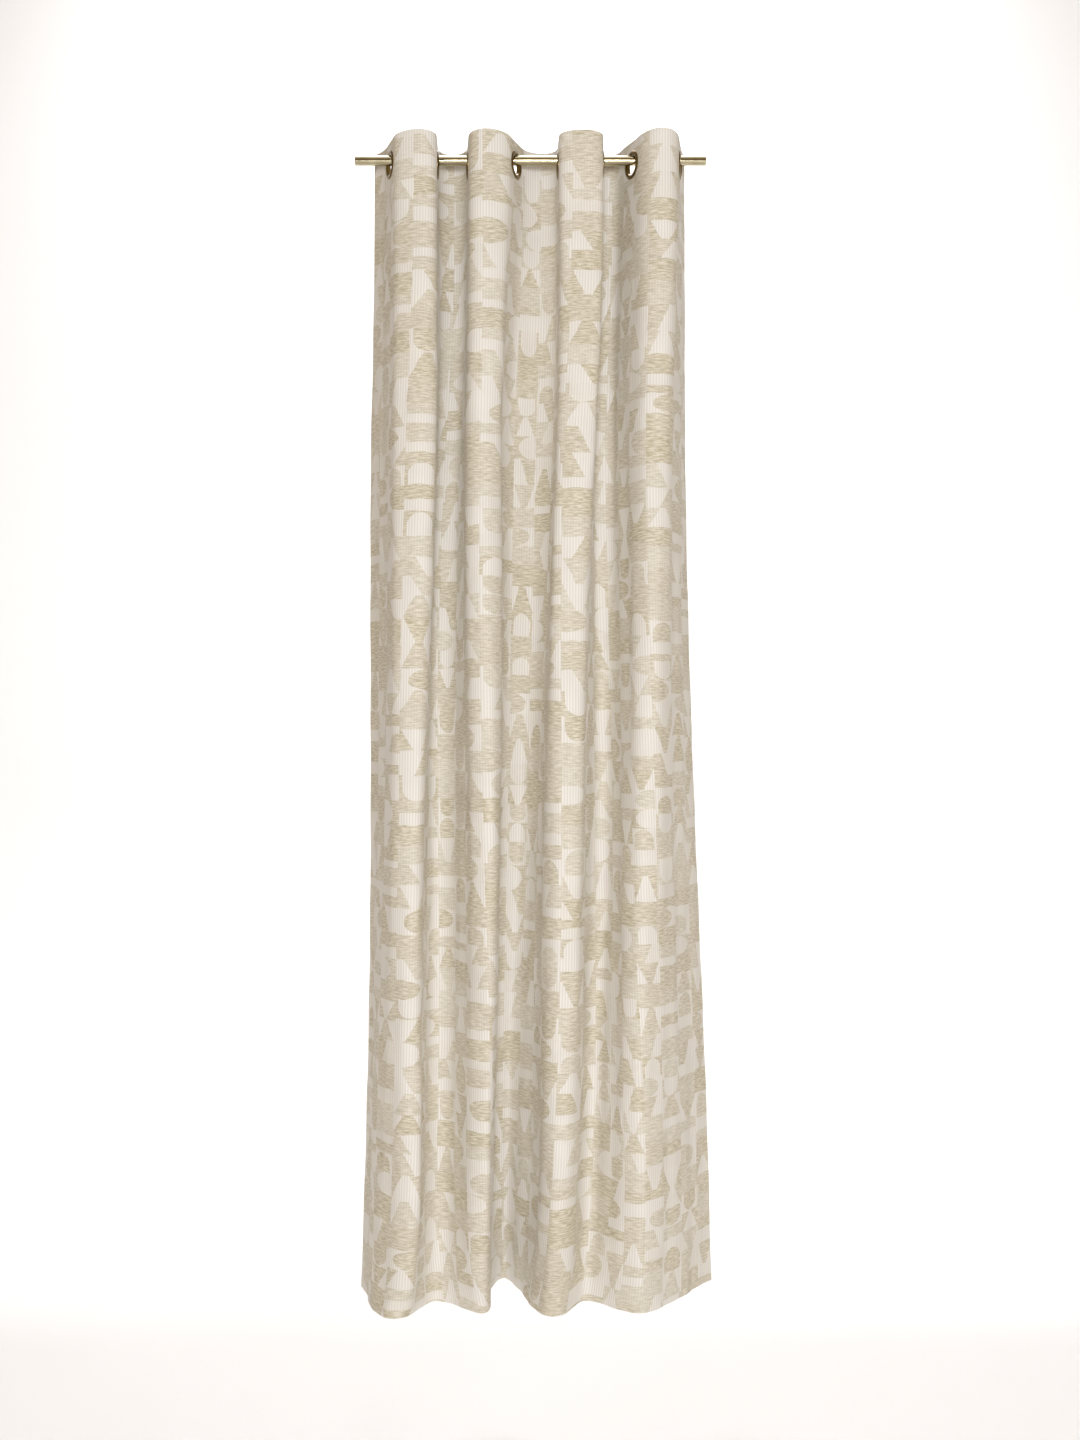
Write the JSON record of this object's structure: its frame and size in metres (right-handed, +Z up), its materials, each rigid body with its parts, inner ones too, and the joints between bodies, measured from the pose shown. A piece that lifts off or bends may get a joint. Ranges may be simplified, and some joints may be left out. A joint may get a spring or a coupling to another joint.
{
  "type": "eyelet curtain on a rod",
  "caption": "Full-length patterned curtain panel with metal eyelets, hanging in deep folds on a plain round metal rod.",
  "frame": {"origin": "on the rod's axis, halfway along the rod's bore", "axes": "+X along the rod to the right as seen from the room, +Z up, -Y towards the room"},
  "size_m": [0.7535, 0.2108, 2.448],
  "materials": {
    "rod_metal": "polished pale champagne gold",
    "eyelet_metal": "antiqued, satin",
    "curtain_cloth": "jacquard weave, cream ribs and taupe hatching",
    "stiffening_tape": "stiff open weave",
    "thread": "spun polyester"
  },
  "bodies": {
    "rod": {"rod_tube": "rod_metal", "curtain_panel": "curtain_cloth", "header_stiffener": "stiffening_tape", "header_facing": "curtain_cloth", "header_stitching": "thread", "bottom_hem": "curtain_cloth", "bottom_hem_stitching": "thread", "left_side_hem": "curtain_cloth", "left_side_stitching": "thread", "right_side_hem": "curtain_cloth", "right_side_stitching": "thread"},
    "eyelet_1": {"eyelet_1_front_ring": "eyelet_metal", "eyelet_1_back_ring": "eyelet_metal"},
    "eyelet_2": {"eyelet_2_front_ring": "eyelet_metal", "eyelet_2_back_ring": "eyelet_metal"},
    "eyelet_3": {"eyelet_3_front_ring": "eyelet_metal", "eyelet_3_back_ring": "eyelet_metal"},
    "eyelet_4": {"eyelet_4_front_ring": "eyelet_metal", "eyelet_4_back_ring": "eyelet_metal"},
    "eyelet_5": {"eyelet_5_front_ring": "eyelet_metal", "eyelet_5_back_ring": "eyelet_metal"},
    "eyelet_6": {"eyelet_6_front_ring": "eyelet_metal", "eyelet_6_back_ring": "eyelet_metal"},
    "eyelet_7": {"eyelet_7_front_ring": "eyelet_metal", "eyelet_7_back_ring": "eyelet_metal"},
    "eyelet_8": {"eyelet_8_front_ring": "eyelet_metal", "eyelet_8_back_ring": "eyelet_metal"}
  },
  "joints": [
    {"name": "eyelet_8_slide", "type": "slide", "parent": "rod", "child": "eyelet_8", "axis": [1, 0, 0], "range_m": [-0.36, 0], "deforming": ["curtain_panel", "header_stiffener", "header_facing", "header_stitching", "bottom_hem", "bottom_hem_stitching", "left_side_hem", "left_side_stitching", "right_side_hem", "right_side_stitching"]},
    {"name": "eyelet_1_slide", "type": "slide", "parent": "rod", "child": "eyelet_1", "axis": [1, 0, 0], "range_m": [-0.02421, 0]},
    {"name": "eyelet_2_slide", "type": "slide", "parent": "rod", "child": "eyelet_2", "axis": [1, 0, 0], "range_m": [-0.07865, 0]},
    {"name": "eyelet_3_slide", "type": "slide", "parent": "rod", "child": "eyelet_3", "axis": [1, 0, 0], "range_m": [-0.11434, 0]},
    {"name": "eyelet_4_slide", "type": "slide", "parent": "rod", "child": "eyelet_4", "axis": [1, 0, 0], "range_m": [-0.16984, 0]},
    {"name": "eyelet_5_slide", "type": "slide", "parent": "rod", "child": "eyelet_5", "axis": [1, 0, 0], "range_m": [-0.21928, 0]},
    {"name": "eyelet_6_slide", "type": "slide", "parent": "rod", "child": "eyelet_6", "axis": [1, 0, 0], "range_m": [-0.26988, 0]},
    {"name": "eyelet_7_slide", "type": "slide", "parent": "rod", "child": "eyelet_7", "axis": [1, 0, 0], "range_m": [-0.3045, 0]}
  ],
  "couplings": [
    {"joint": "eyelet_1_slide", "follows": "eyelet_8_slide", "ratio": 0.06724},
    {"joint": "eyelet_2_slide", "follows": "eyelet_8_slide", "ratio": 0.21847},
    {"joint": "eyelet_3_slide", "follows": "eyelet_8_slide", "ratio": 0.31759},
    {"joint": "eyelet_4_slide", "follows": "eyelet_8_slide", "ratio": 0.47176},
    {"joint": "eyelet_5_slide", "follows": "eyelet_8_slide", "ratio": 0.6091},
    {"joint": "eyelet_6_slide", "follows": "eyelet_8_slide", "ratio": 0.74964},
    {"joint": "eyelet_7_slide", "follows": "eyelet_8_slide", "ratio": 0.84583}
  ]
}
